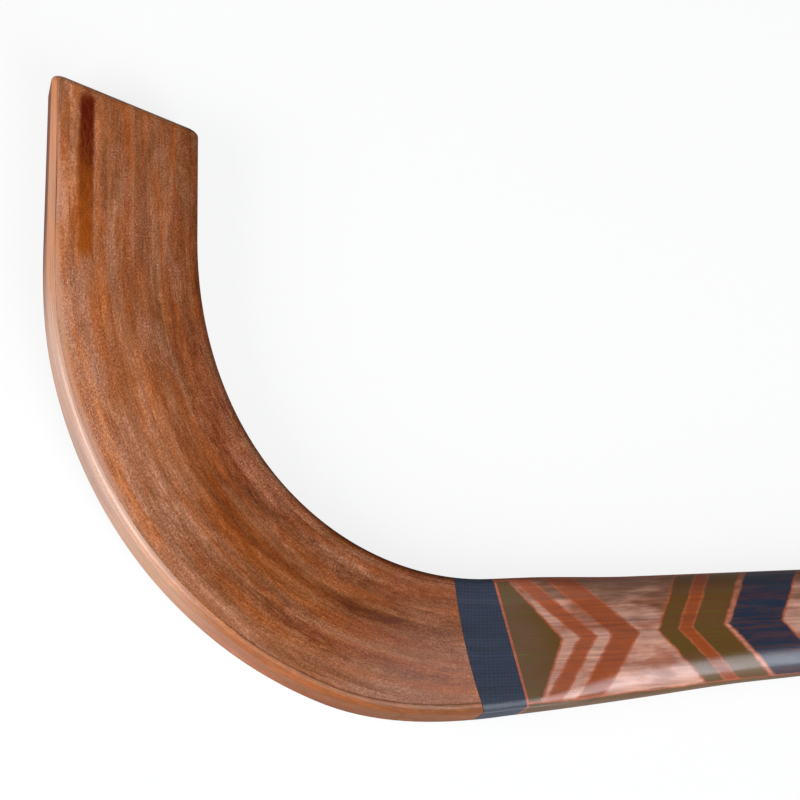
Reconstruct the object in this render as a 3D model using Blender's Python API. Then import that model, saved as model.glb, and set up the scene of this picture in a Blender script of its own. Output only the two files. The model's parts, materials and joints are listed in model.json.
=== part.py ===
"""A roller hockey stick: bent plies machined to one outline, glass cloth on the blade's broad faces,
a printed film round the shaft, and a wound grip with a collar and an end cap.

Every place on the stick is found from the inner edge, the line that cradles the ball. It runs
straight down the tip, round the bend and straight up the shaft. A distance s along it is 0 where
the bend starts, negative up the tip, and BEND_LENGTH where the shaft starts. A distance u is
measured from the inner edge towards the outer, convex edge. The stick is built round its middle
plane and then set down on its back.
"""

import math

import bmesh
import bpy

MM = 0.001

# The inner edge
TIP_STRAIGHT = 32.5 * MM
TIP_CUT_ANGLE = math.radians(21.0)
BEND_ANGLE = math.radians(93.4)
BEND_RADIUS_TIP = 146.0 * MM
BEND_RADIUS_SHAFT = 67.0 * MM
SHAFT_LENGTH = 824.0 * MM

# The width across the broad face, and where along the inner edge it is reached
TIP_WIDTH = 44.2 * MM
BEND_START_WIDTH = 44.9 * MM
BLADE_WIDTH = 46.0 * MM
BLADE_WIDTH_AT = 30.0 * MM
HEEL_WIDTH = 44.2 * MM
HEEL_BEFORE_SHAFT = 32.0 * MM
THROAT_WIDTH = 39.4 * MM
NECK_WIDTH = 36.7 * MM
NECK_AFTER_BEND = 38.0 * MM
WAIST_WIDTH = 32.7 * MM
WAIST_AFTER_BEND = 80.0 * MM
SHAFT_WIDTH = 30.0 * MM
TAPER_LENGTH = 140.0 * MM

# The section
THICKNESS = 20.0 * MM
BLADE_CORNER = 2.5 * MM
SHAFT_CORNER = 8.5 * MM
ROUNDING_AFTER_BEND = 10.0 * MM
ROUNDING_LENGTH = 34.0 * MM
TIP_ROUND = 1.5 * MM

# Plies, skins and the clearances between pieces
PLY_THICKNESS = 3.85 * MM
GLUE_LINE = 0.2 * MM
DARK_WOOD_DEPTH = 33.0 * MM
STRIP_MARGIN = 3.0 * MM
SKIN_THICKNESS = 0.35 * MM
SKIN_GAP = 0.15 * MM
END_GAP = 0.3 * MM

# The straight line where the blade cloth ends and the printed film starts
FILM_START_INNER = -11.0 * MM
FILM_START_OUTER = -3.0 * MM
FILM_LINE_SPREAD = 45.0 * MM

# The grip, its collar and the cap on the butt
GRIP_LENGTH = 280.0 * MM
GRIP_PITCH = 18.0 * MM
GRIP_THICKNESS = 1.2 * MM
GRIP_RIDGE = 0.5 * MM
GRIP_LIP = 0.4 * MM
COLLAR_ON_FILM = 9.0 * MM
COLLAR_ON_GRIP = 13.0 * MM
COLLAR_THICKNESS = 0.6 * MM
COLLAR_RAMP = 2.5 * MM
CAP_WALL = 2.2 * MM
CAP_END = 3.0 * MM
CAP_DEPTH = 14.0 * MM
CAP_EDGE_ROUND = 1.4 * MM

# How finely curves are divided
BEND_STEP = 4.0 * MM
TAPER_STEP = 10.0 * MM
ROUNDING_STEP = 5.0 * MM
CORNER_STEPS = 5
TIP_ROUND_STEPS = 3
SIMPSON_PANELS = 40
HAIR = 0.05 * MM
SAME_PLACE = 0.001 * MM
SPARE_COUNT = 1e-6

# Sizes that follow from the ones above
TIP_SLANT = TIP_WIDTH * math.tan(TIP_CUT_ANGLE)
BEND_LENGTH = 2.0 * BEND_ANGLE / (1.0 / BEND_RADIUS_TIP + 1.0 / BEND_RADIUS_SHAFT)
SHAFT_END = BEND_LENGTH + SHAFT_LENGTH
ROUNDING_START = BEND_LENGTH + ROUNDING_AFTER_BEND
ROUNDING_END = ROUNDING_START + ROUNDING_LENGTH
HALF_THICKNESS = THICKNESS / 2.0
SKIN_DEPTH = SKIN_THICKNESS + SKIN_GAP
WIDEST = max(TIP_WIDTH, BLADE_WIDTH, HEEL_WIDTH)
PLY_COUNT = math.ceil(WIDEST / PLY_THICKNESS)
QUARTER_TURN = math.radians(90.0)
SMOOTH_ANGLE = math.radians(35.0)


def heading(s):
    """The direction from the tip towards the butt along the inner edge, as an angle from +X."""
    t = min(max(s, 0.0), BEND_LENGTH)
    curvature_tip = 1.0 / BEND_RADIUS_TIP
    curvature_gain = 1.0 / BEND_RADIUS_SHAFT - curvature_tip
    return curvature_tip * t + curvature_gain * t * t / (2.0 * BEND_LENGTH) - BEND_ANGLE


def inner_edge(s):
    """The point of the inner edge at s, with (0, 0) where the shaft starts."""
    if s >= BEND_LENGTH:
        return s - BEND_LENGTH, 0.0
    t = max(s, 0.0)
    step = (BEND_LENGTH - t) / (2 * SIMPSON_PANELS)
    x = 0.0
    y = 0.0
    for k in range(2 * SIMPSON_PANELS + 1):
        weight = 1 if k in (0, 2 * SIMPSON_PANELS) else 4 if k % 2 else 2
        angle = heading(t + k * step)
        x -= weight * math.cos(angle) * step / 3.0
        y -= weight * math.sin(angle) * step / 3.0
    straight = min(s, 0.0)
    return x + straight * math.cos(-BEND_ANGLE), y + straight * math.sin(-BEND_ANGLE)


def plan_point(s, u):
    """The point at s and at the distance u from the inner edge, in the stick's middle plane."""
    x, y = inner_edge(s)
    angle = heading(s)
    return x + u * math.sin(angle), y - u * math.cos(angle)


WIDTHS = (
    (-TIP_STRAIGHT - TIP_SLANT, TIP_WIDTH),
    (0.0, BEND_START_WIDTH),
    (BLADE_WIDTH_AT, BLADE_WIDTH),
    (BEND_LENGTH - HEEL_BEFORE_SHAFT, HEEL_WIDTH),
    (BEND_LENGTH, THROAT_WIDTH),
    (BEND_LENGTH + NECK_AFTER_BEND, NECK_WIDTH),
    (BEND_LENGTH + WAIST_AFTER_BEND, WAIST_WIDTH),
    (BEND_LENGTH + TAPER_LENGTH, SHAFT_WIDTH),
)


def width_slope(k):
    """How fast the width changes at station k, a mean of both sides that never overshoots."""
    if k in (0, len(WIDTHS) - 1):
        return 0.0
    before = (WIDTHS[k][1] - WIDTHS[k - 1][1]) / (WIDTHS[k][0] - WIDTHS[k - 1][0])
    after = (WIDTHS[k + 1][1] - WIDTHS[k][1]) / (WIDTHS[k + 1][0] - WIDTHS[k][0])
    if before * after <= 0.0:
        return 0.0
    return 2.0 * before * after / (before + after)


def width(s):
    """The finished width from the inner to the outer edge at s."""
    if s <= WIDTHS[0][0]:
        return WIDTHS[0][1]
    for k in range(len(WIDTHS) - 1):
        s0, w0 = WIDTHS[k]
        s1, w1 = WIDTHS[k + 1]
        if s <= s1:
            h = s1 - s0
            t = (s - s0) / h
            ends = (1 + 2 * t) * (1 - t) ** 2 * w0 + t * t * (3 - 2 * t) * w1
            slopes = t * (1 - t) ** 2 * width_slope(k) - t * t * (1 - t) * width_slope(k + 1)
            return ends + h * slopes
    return WIDTHS[-1][1]


def corner(s):
    """The radius of the section's corners: crisp on the blade, nearly a full round on the shaft."""
    t = min(max((s - ROUNDING_START) / ROUNDING_LENGTH, 0.0), 1.0)
    return BLADE_CORNER + (SHAFT_CORNER - BLADE_CORNER) * t * t * (3 - 2 * t)


def film_line():
    """Where the film's slanted line crosses the middle of the stick."""
    return BEND_LENGTH + (FILM_START_INNER + FILM_START_OUTER) / 2.0


def pair(s):
    """Where a row that is nominally at s meets the inner edge and the outer edge.

    Rows are square to the inner edge, except near the film's slanted line, where they fan to it.
    """
    skew = (FILM_START_OUTER - FILM_START_INNER) / 2.0
    share = max(0.0, 1.0 - abs(s - film_line()) / FILM_LINE_SPREAD)
    return s - skew * share, s + skew * share


def tip_pair(back):
    """A row parallel to the tip's slanted cut, and that far back from it."""
    return back - TIP_STRAIGHT, back - TIP_STRAIGHT - TIP_SLANT


def spread(start, end, step):
    """Evenly spaced values from start to end, both included, no further apart than step."""
    count = max(1, math.ceil((end - start) / step - SPARE_COUNT))
    return [start + (end - start) * k / count for k in range(count + 1)]


def blade_rows(end):
    """Nominal places round the bend, from where it starts up to end."""
    return spread(0.0, end, BEND_STEP)


def shaft_rows(start):
    """Nominal places from start, late in the bend, through the taper to the end of the shaft."""
    bend = spread(start, BEND_LENGTH, BEND_STEP)
    rounding = spread(ROUNDING_START, ROUNDING_END, ROUNDING_STEP)
    taper = spread(BEND_LENGTH, BEND_LENGTH + TAPER_LENGTH, TAPER_STEP)
    return bend + rounding + [s for s in taper if s > ROUNDING_END] + [SHAFT_END]


def placed(row, side, inset, z):
    """A point of a row's section, at an inset from its inner (0) or outer (1) edge."""
    s = row[side]
    u = inset if side == 0 else width(s) - inset
    x, y = plan_point(s, u)
    return x, y, z


def corner_arc(radius, inset):
    """Quarter round from the side wall to the broad face, as (inset, height) pairs."""
    points = []
    for k in range(CORNER_STEPS + 1):
        t = QUARTER_TURN * k / CORNER_STEPS
        across = inset + radius * (1.0 - math.cos(t))
        height = HALF_THICKNESS - inset - radius * (1.0 - math.sin(t))
        points.append((across, height))
    return points


def section_ring(row, side_points):
    """A closed section: side_points(side) from the wall to the face, used for all four corners."""
    ring = []
    for side, up, inward in ((0, 1, True), (1, 1, False), (1, -1, True), (0, -1, False)):
        points = side_points(side)
        if not inward:
            points = points[::-1]
        ring += [placed(row, side, inset, up * z) for inset, z in points]
    return ring


def plain_ring(row, inset):
    """The finished section drawn in by inset, with a spare point past each corner."""

    def side_points(side):
        arc = corner_arc(corner(row[side]), inset)
        return arc + [(arc[-1][0] + HAIR, arc[-1][1])]

    return section_ring(row, side_points)


def rebated_ring(row):
    """The wood's section on the blade: full at the edges, sunk on the faces for the cloth."""

    def side_points(side):
        arc = corner_arc(corner(row[side]), 0.0)
        return arc + [(arc[-1][0] + HAIR, HALF_THICKNESS - SKIN_DEPTH)]

    return section_ring(row, side_points)


def inset_ring(row, inset, spare=False):
    """The finished section drawn in all round by inset, with corners that stay concentric."""

    def side_points(side):
        arc = corner_arc(corner(row[side]) - inset, inset)
        return arc + [(arc[-1][0] + HAIR, arc[-1][1])] if spare else arc

    return section_ring(row, side_points)


def new_mesh_object(name, mesh_builder, material):
    """An object from a bmesh, shaded smooth with its true edges kept sharp."""
    mesh = bpy.data.meshes.new(name)
    bm = bmesh.new()
    mesh_builder(bm)
    bmesh.ops.recalc_face_normals(bm, faces=bm.faces)
    bm.to_mesh(mesh)
    bm.free()
    mesh.shade_smooth()
    mesh.set_sharp_from_angle(angle=SMOOTH_ANGLE)
    if material:
        mesh.materials.append(material)
    obj = bpy.data.objects.new(name, mesh)
    bpy.context.scene.collection.objects.link(obj)
    return obj


def material(name, colour, roughness, metallic=0.0):
    """A plain surface finish."""
    mat = bpy.data.materials.new(name)
    mat.use_nodes = True
    shader = mat.node_tree.nodes["Principled BSDF"]
    shader.inputs["Base Color"].default_value = (*colour, 1.0)
    shader.inputs["Roughness"].default_value = roughness
    shader.inputs["Metallic"].default_value = metallic
    return mat


def bridge(bm, first, second):
    """Quads between two rings of the same number of vertices."""
    count = len(first)
    for k in range(count):
        n = (k + 1) % count
        bm.faces.new((first[k], first[n], second[n], second[k]))


def loft(rings, closed=False):
    """A mesh builder for a solid through the rings, capped at its ends or closed on itself."""

    def build(bm):
        made = [[bm.verts.new(p) for p in ring] for ring in rings]
        for first, second in zip(made, made[1:]):
            bridge(bm, first, second)
        if closed:
            bridge(bm, made[-1], made[0])
        else:
            bm.faces.new(made[0])
            bm.faces.new(made[-1])

    return build


def machined_wood():
    """The whole of the wood as one body, from which the plies are cut."""
    rings = []
    for k in range(TIP_ROUND_STEPS + 1):
        t = QUARTER_TURN * k / TIP_ROUND_STEPS
        back = TIP_ROUND * (1.0 - math.cos(t))
        rings.append(plain_ring(tip_pair(back), TIP_ROUND * (1.0 - math.sin(t))))
    rings.append(rebated_ring(tip_pair(TIP_ROUND + HAIR)))
    rings += [rebated_ring(pair(s)) for s in blade_rows(film_line() - HAIR)]
    rings += [inset_ring(pair(s), SKIN_DEPTH, True) for s in shaft_rows(film_line() + HAIR)]
    cutter = new_mesh_object("machined_wood", loft(rings), None)
    cutter.hide_render = True
    cutter.display_type = "WIRE"
    return cutter


def ply(number, cutter, finish):
    """One ply: a strip that follows the inner edge, cut to the machined outline."""
    low = PLY_THICKNESS * (number - 1) + GLUE_LINE / 2.0
    high = PLY_THICKNESS * number - GLUE_LINE / 2.0
    if number == 1:
        low = -STRIP_MARGIN
    if number == PLY_COUNT:
        high = WIDEST + STRIP_MARGIN
    reach = HALF_THICKNESS + STRIP_MARGIN
    before_tip = min(tip_pair(-STRIP_MARGIN))
    rings = []
    for s in [before_tip] + blade_rows(BEND_LENGTH) + [SHAFT_END + STRIP_MARGIN]:
        near = plan_point(s, low)
        far = plan_point(s, high)
        rings.append([(*near, -reach), (*near, reach), (*far, reach), (*far, -reach)])
    obj = new_mesh_object(f"lamination_{number:02d}", loft(rings), finish)
    cut = obj.modifiers.new("machined", "BOOLEAN")
    cut.operation = "INTERSECT"
    cut.solver = "EXACT"
    cut.object = cutter
    return obj


def blade_cloth(name, up, finish):
    """Glass cloth in resin, a flush plate on one broad face from the tip to the film's line."""
    rows = [tip_pair(TIP_ROUND + HAIR + SKIN_GAP)]
    rows += [pair(s) for s in blade_rows(film_line() - SKIN_GAP)]
    top = up * HALF_THICKNESS
    bottom = up * (HALF_THICKNESS - SKIN_THICKNESS)
    rings = []
    for row in rows:
        insets = [corner(row[side]) + HAIR + SKIN_GAP for side in (0, 1)]
        ring = [placed(row, 0, insets[0], bottom), placed(row, 0, insets[0], top)]
        ring += [placed(row, 1, insets[1], top), placed(row, 1, insets[1], bottom)]
        rings.append(ring)
    return new_mesh_object(name, loft(rings), finish)


def print_film(finish):
    """The film, a sleeve round the shaft from its slanted line to the butt."""
    rows = [pair(s) for s in shaft_rows(film_line() + SKIN_GAP)]
    outside = [inset_ring(row, 0.0) for row in rows]
    inside = [inset_ring(row, SKIN_THICKNESS) for row in rows]
    return new_mesh_object("print_film", loft(outside + inside[::-1], closed=True), finish)


def shaft_ring(s, proud):
    """The shaft's section at s, grown all round by the distance proud."""
    return inset_ring((s, s), -proud)


def sleeve(name, profile, finish):
    """A closed profile of (s, proud) pairs, carried round the shaft."""
    rings = [shaft_ring(s, proud) for s, proud in profile]
    return new_mesh_object(name, loft(rings, closed=True), finish)


def ring_shares(ring):
    """How far round the ring each point lies, from 0 up to 1."""
    lengths = [math.dist(ring[k], ring[(k + 1) % len(ring)]) for k in range(len(ring))]
    total = sum(lengths)
    return [sum(lengths[:k]) / total for k in range(len(ring))]


def grip_tape(start, end, finish):
    """Tape wound in a steady helix, each turn lapping the one before with a low step."""
    count = len(shaft_ring(start, 0.0))
    shares = ring_shares(shaft_ring(start, 0.0))
    wound_from = start + COLLAR_ON_GRIP + SKIN_GAP
    turns = math.ceil((end - wound_from) / GRIP_PITCH) + 1
    low = SKIN_GAP + GRIP_THICKNESS
    high = low + GRIP_RIDGE

    def wound_row(turn, lip):
        """One pass of the lap round the shaft, as (s, proud) at each of the section's points."""
        row = []
        for share in shares:
            s = wound_from + GRIP_PITCH * (turn + share) + lip * GRIP_LIP
            held = min(max(s, wound_from), end)
            row.append((held, high if lip and held == s else low))
        return row

    def build(bm):
        def point(k, s, proud):
            return bm.verts.new(shaft_ring(s, proud)[k])

        rows = []
        for turn in range(-1, turns + 1):
            for lip in (0, 1):
                row = wound_row(turn, lip)
                rows.append([point(k, *row[k]) for k in range(count)])
        for upper, lower in zip(rows, rows[1:]):
            for k in range(count - 1):
                bm.faces.new((upper[k], upper[k + 1], lower[k + 1], lower[k]))
        for q in range(len(rows) - 3):
            bm.faces.new((rows[q][-1], rows[q + 2][0], rows[q + 3][0], rows[q + 1][-1]))
        first = [point(k, wound_from, low) for k in range(count)]
        last = [point(k, end, low) for k in range(count)]
        outer_start = [point(k, start, low) for k in range(count)]
        inner_start = [point(k, start, SKIN_GAP) for k in range(count)]
        inner_end = [point(k, end, SKIN_GAP) for k in range(count)]
        bridge(bm, outer_start, first)
        bridge(bm, outer_start, inner_start)
        bridge(bm, inner_start, inner_end)
        bridge(bm, inner_end, last)
        bmesh.ops.remove_doubles(bm, verts=bm.verts, dist=SAME_PLACE)
        loose = [v for v in bm.verts if not v.link_faces]
        bmesh.ops.delete(bm, geom=loose, context="VERTS")

    return new_mesh_object("grip_tape", build, finish)


def grip_collar(grip_start, finish):
    """The band of tape that holds the grip's lower end down on the film."""
    on_film = SKIN_GAP
    on_grip = SKIN_GAP + GRIP_THICKNESS + SKIN_GAP
    below = grip_start - COLLAR_ON_FILM
    over = grip_start + COLLAR_ON_GRIP
    ramp_start = grip_start - END_GAP - COLLAR_RAMP
    under_side = [(below, on_film), (ramp_start, on_film), (grip_start - END_GAP, on_grip)]
    under_side.append((over, on_grip))
    upper_side = [(s, proud + COLLAR_THICKNESS) for s, proud in reversed(under_side)]
    return sleeve("grip_collar", under_side + upper_side, finish)


def end_cap(finish):
    """The cap on the butt: a cup over the end of the shaft, with a rounded rim."""
    inner = SKIN_GAP
    outer = inner + CAP_WALL
    mouth = SHAFT_END - CAP_DEPTH
    floor = SHAFT_END + END_GAP
    end = floor + CAP_END
    profile = [(floor, inner), (mouth, inner), (mouth, outer)]
    for k in range(CORNER_STEPS + 1):
        t = QUARTER_TURN * k / CORNER_STEPS
        s = end - CAP_EDGE_ROUND * (1.0 - math.sin(t))
        profile.append((s, outer - CAP_EDGE_ROUND * (1.0 - math.cos(t))))
    return new_mesh_object("end_cap", loft([shaft_ring(s, p) for s, p in profile]), finish)


def box_of(objects):
    """The lowest and highest corners of the objects' own vertices."""
    points = [v.co for obj in objects for v in obj.data.vertices]
    low = [min(p[axis] for p in points) for axis in range(3)]
    high = [max(p[axis] for p in points) for axis in range(3)]
    return low, high


def ply_finishes():
    """A finish for each ply from the inner edge out: pale and warm by turns, and one dark."""
    pale = material("pale_wood", (0.60, 0.34, 0.20), 0.35)
    warm = material("warm_wood", (0.50, 0.25, 0.12), 0.35)
    dark = material("dark_wood", (0.27, 0.09, 0.04), 0.35)
    dark_ply = math.floor(DARK_WOOD_DEPTH / PLY_THICKNESS)
    return [dark if k == dark_ply else warm if k % 2 else pale for k in range(PLY_COUNT)]


def main():
    for obj in list(bpy.data.objects):
        bpy.data.objects.remove(obj)
    cloth = material("glass_cloth", (0.40, 0.17, 0.07), 0.40)
    film = material("printed_film", (0.12, 0.12, 0.10), 0.25)
    tape = material("grip_tape", (0.03, 0.03, 0.035), 0.80)
    band = material("finishing_tape", (0.02, 0.05, 0.12), 0.45)
    rubber = material("rubber", (0.02, 0.02, 0.02), 0.60)
    grip_start = SHAFT_END - GRIP_LENGTH
    grip_end = SHAFT_END - CAP_DEPTH - END_GAP
    cutter = machined_wood()
    plies = [ply(k + 1, cutter, finish) for k, finish in enumerate(ply_finishes())]
    skins = [
        blade_cloth("blade_cloth_front", 1, cloth),
        blade_cloth("blade_cloth_back", -1, cloth),
        print_film(film),
    ]
    fittings = [
        grip_tape(grip_start, grip_end, tape),
        grip_collar(grip_start, band),
        end_cap(rubber),
    ]
    low, high = box_of([cutter] + fittings)
    stick = bpy.data.objects.new("stick", None)
    bpy.context.scene.collection.objects.link(stick)
    stick.location = (-(low[0] + high[0]) / 2.0, -(low[1] + high[1]) / 2.0, -low[2])
    for obj in [cutter] + plies + skins + fittings:
        obj.parent = stick


main()
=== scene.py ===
"""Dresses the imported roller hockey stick: finer pieces of the same form, wood, cloth and print.

Lengths are in millimetres, turned into metres as the meshes are made. A place on the stick is
(s, u, z): s runs along the inner edge, 0 where the bend starts and BEND where the shaft starts; u
runs from the inner to the outer, convex edge; z is the height over the middle plane. Every piece
carries its places as the attribute "place", so that the grain follows the bend.

The materials' values have three forms. A ramp is two values of what it reads and what it gives
there, or else 0 and 1. A band is its start, its end and how soft they are. A noise is how far it
is drawn out along s, u and z, its detail and its roughness.
"""

import json
import math

import bmesh
import bpy
import numpy as np
from mathutils import Matrix, Vector

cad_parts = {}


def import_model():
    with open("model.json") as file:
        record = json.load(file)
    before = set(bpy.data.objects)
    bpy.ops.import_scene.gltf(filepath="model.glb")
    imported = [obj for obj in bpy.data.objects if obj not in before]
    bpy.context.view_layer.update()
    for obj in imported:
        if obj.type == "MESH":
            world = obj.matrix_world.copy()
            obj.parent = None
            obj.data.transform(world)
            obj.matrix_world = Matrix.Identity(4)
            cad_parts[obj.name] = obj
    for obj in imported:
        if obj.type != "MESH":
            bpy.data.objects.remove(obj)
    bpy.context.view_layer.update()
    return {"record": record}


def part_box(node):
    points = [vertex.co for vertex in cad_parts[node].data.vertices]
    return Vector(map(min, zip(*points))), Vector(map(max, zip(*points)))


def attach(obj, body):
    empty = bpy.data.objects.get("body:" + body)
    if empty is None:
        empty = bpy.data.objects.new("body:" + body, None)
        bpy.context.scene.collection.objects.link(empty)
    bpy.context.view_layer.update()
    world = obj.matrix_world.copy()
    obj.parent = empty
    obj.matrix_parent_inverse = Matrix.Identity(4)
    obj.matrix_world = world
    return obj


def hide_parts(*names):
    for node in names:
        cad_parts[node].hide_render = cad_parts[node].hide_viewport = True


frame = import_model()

MM = 0.001

# The outline, with the driving dimensions of the solids
TIP_STRAIGHT = 32.5
TIP_CUT = math.radians(21.0)
BEND_ANGLE = math.radians(93.4)
BEND_RADIUS_TIP = 146.0
BEND_RADIUS_SHAFT = 67.0
SHAFT_LENGTH = 824.0
TAPER_LENGTH = 140.0
BEND = 2.0 * BEND_ANGLE / (1.0 / BEND_RADIUS_TIP + 1.0 / BEND_RADIUS_SHAFT)
END = BEND + SHAFT_LENGTH
TIP_WIDTH = 44.2
TIP_SLANT = TIP_WIDTH * math.tan(TIP_CUT)

# The width at places along the stick
WIDTHS = (
    (-TIP_STRAIGHT - TIP_SLANT, TIP_WIDTH),
    (0.0, 44.9),
    (30.0, 46.0),
    (BEND - 32.0, 44.2),
    (BEND, 39.4),
    (BEND + 38.0, 36.7),
    (BEND + 80.0, 32.7),
    (BEND + TAPER_LENGTH, 30.0),
)

# How far the pieces' smooth outer edge stays inside the solids' faceted one
SHY = 0.02

# The section: half its thickness, its corners, the rounding of the tip's cut and of its outer corner
HALF = 10.0
BLADE_CORNER = 2.5
SHAFT_CORNER = 8.5
ROUNDING_START = BEND + 10.0
ROUNDING_LENGTH = 34.0
TIP_ROUND = 1.5
TIP_CORNER = 1.8

# Plies and skins, with the glue lines of the real thing instead of the solids' wider gaps
PLY = 3.85
PLY_COUNT = 12
GLUE = 0.04
SKIN = 0.35
GAP = 0.15
SUNK = SKIN + GAP

# The step between rows that meet at an edge, and the room round the cloths
HAIR = 0.05
SLIT = 0.01

# The film's line, how far it slants to either side, and how far on that slant dies out
FILM_LINE = BEND - 7.0
FILM_SKEW = 4.0
FILM_SPREAD = 45.0

# The grip, its collar and the cap
GRIP_START = END - 280.0
GRIP_PITCH = 18.0
GRIP_THICKNESS = 1.2
GRIP_RIDGE = 0.5
COLLAR_START = GRIP_START - 9.0
COLLAR_END = GRIP_START + 13.0
COLLAR_THICKNESS = 0.6
CAP_WALL = 2.2
CAP_END = 3.0
CAP_DEPTH = 14.0
END_GAP = 0.3

# How finely the pieces are divided, and what counts as one vertex and as a sharp edge
BEND_SAMPLES = 1201
ROW_STEP = 2.0
TAPER_STEP = 4.0
SHAFT_STEP = 12.0
CORNER_STEPS = 12
FLAT_STEPS = 8
TIP_STEPS = 8
MERGE = 0.002
SMOOTH = math.radians(35.0)


# Where a place on the stick lies

def heading(s):
    """The direction of the inner edge towards the butt, as an angle from +X."""
    t = np.clip(s, 0.0, BEND)
    gain = 1.0 / BEND_RADIUS_SHAFT - 1.0 / BEND_RADIUS_TIP
    return t / BEND_RADIUS_TIP + gain * t * t / (2.0 * BEND) - BEND_ANGLE


def bend_table():
    """The inner edge round the bend, added up in short steps back from the shaft."""
    s = np.linspace(0.0, BEND, BEND_SAMPLES)
    middle = heading((s[1:] + s[:-1]) / 2.0)
    step = s[1] - s[0]
    x = np.append(-np.cumsum(np.cos(middle)[::-1])[::-1] * step, 0.0)
    y = np.append(-np.cumsum(np.sin(middle)[::-1])[::-1] * step, 0.0)
    return s, x, y


BEND_S, BEND_X, BEND_Y = bend_table()


def plan(s, u):
    """The plan position of places, from where the shaft's inner edge starts."""
    s = np.asarray(s, float)
    before = np.minimum(s, 0.0)
    after = np.maximum(s - BEND, 0.0)
    x = np.interp(s, BEND_S, BEND_X) + before * math.cos(-BEND_ANGLE) + after
    y = np.interp(s, BEND_S, BEND_Y) + before * math.sin(-BEND_ANGLE)
    angle = heading(s)
    return x + u * np.sin(angle), y - u * np.cos(angle)


def width_slope(k):
    """How fast the width changes at station k, a mean of both sides that never overshoots."""
    if k in (0, len(WIDTHS) - 1):
        return 0.0
    (s0, w0), (s1, w1), (s2, w2) = WIDTHS[k - 1:k + 2]
    before = (w1 - w0) / (s1 - s0)
    after = (w2 - w1) / (s2 - s1)
    if before * after <= 0.0:
        return 0.0
    return 2.0 * before * after / (before + after)


def width(s):
    """The finished width from the inner to the outer edge at s."""
    s = min(max(s, WIDTHS[0][0]), WIDTHS[-1][0])
    k = next(k for k in range(len(WIDTHS) - 1) if s <= WIDTHS[k + 1][0])
    (s0, w0), (s1, w1) = WIDTHS[k:k + 2]
    h = s1 - s0
    t = (s - s0) / h
    ends = (1 + 2 * t) * (1 - t) ** 2 * w0 + t * t * (3 - 2 * t) * w1
    slopes = t * (1 - t) ** 2 * width_slope(k) - t * t * (1 - t) * width_slope(k + 1)
    return ends + h * slopes - SHY


def corner(s):
    """The radius of the section's corners: crisp on the blade, nearly a full round on the shaft."""
    t = min(max((s - ROUNDING_START) / ROUNDING_LENGTH, 0.0), 1.0)
    return BLADE_CORNER + (SHAFT_CORNER - BLADE_CORNER) * t * t * (3 - 2 * t)


def pair(s):
    """Where a row that is nominally at s meets the inner and the outer edge."""
    share = max(0.0, 1.0 - abs(s - FILM_LINE) / FILM_SPREAD)
    return s - FILM_SKEW * share, s + FILM_SKEW * share


def tip_pair(back):
    """A row parallel to the tip's slanted cut, and that far back from it."""
    return back - TIP_STRAIGHT, back - TIP_STRAIGHT - TIP_SLANT


def tip_corner(back):
    """How far the rounded corner of the tip's cut and the outer edge draws in a row at back."""
    slope = math.tan(TIP_CUT)
    steep = 1.0 + slope * slope
    centre = TIP_CORNER * (slope + math.sqrt(steep))
    short = max(centre - back, 0.0)
    half = TIP_CORNER + short * slope
    if short == 0.0:
        return 0.0
    return (half - math.sqrt(max(half * half - steep * short * short, 0.0))) / steep


def spread(start, end, step):
    """Evenly spaced values from start to end, both included."""
    return list(np.linspace(start, end, max(2, math.ceil((end - start) / step) + 1)))


# The frame's own place for the stick

def stick_origin():
    """Where the shaft's inner edge starts, on the middle plane, read from the cap on the butt."""
    low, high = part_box("end_cap")
    x = high[0] - (SHAFT_LENGTH + END_GAP + CAP_END) * MM
    y = high[1] - (GAP + CAP_WALL) * MM
    return Vector((x, y, (low[2] + high[2]) / 2.0))


ORIGIN = stick_origin()


# Meshes

def row_of(s, u, z, wrap=0.0, rim=0.0):
    """A row of places on the stick, with their positions and the values that the materials read.

    wrap is how far round the section a place lies, and rim how far inside a cloth's outer border.
    """
    s, u, z, wrap, rim = np.broadcast_arrays(s, u, z, wrap, rim)
    x, y = plan(s, u)
    return np.stack([x, y, z, s, u, z, wrap, rim], axis=1)


def in_scene(name, data):
    """A new object of the scene."""
    made = bpy.data.objects.new(name, data)
    bpy.context.scene.collection.objects.link(made)
    return made


def finished(bm, name, node, material):
    """Makes a bmesh into an object that rides on the stick in place of a node of the frame."""
    bmesh.ops.remove_doubles(bm, verts=bm.verts, dist=MERGE * MM)
    bmesh.ops.recalc_face_normals(bm, faces=bm.faces)
    mesh = bpy.data.meshes.new(name)
    bm.to_mesh(mesh)
    bm.free()
    mesh.shade_smooth()
    mesh.set_sharp_from_angle(angle=SMOOTH)
    mesh.materials.append(material)
    piece = in_scene(name, mesh)
    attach(piece, "root")
    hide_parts(node)


def vertices(bm, rows):
    """A bmesh vertex for each place, with its attributes."""
    place = bm.verts.layers.float_vector.new("place")
    wrap = bm.verts.layers.float.new("wrap")
    rim = bm.verts.layers.float.new("rim")
    made = []
    for row in rows:
        line = []
        for x, y, z, s, u, h, around, inside in row:
            vert = bm.verts.new(ORIGIN + Vector((x, y, z)) * MM)
            vert[place] = (s, u, h)
            vert[wrap] = around
            vert[rim] = inside
            line.append(vert)
        made.append(line)
    return made


def bridge(bm, rings):
    """Quads between each ring of vertices and the next."""
    for first, second in zip(rings, rings[1:]):
        for k in range(len(first)):
            n = (k + 1) % len(first)
            bm.faces.new((first[k], first[n], second[n], second[k]))


def close_end(bm, ring):
    """Quads across a ring whose second half runs back below its first."""
    for k in range(len(ring) // 2 - 1):
        bm.faces.new((ring[k], ring[k + 1], ring[-2 - k], ring[-1 - k]))


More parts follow.
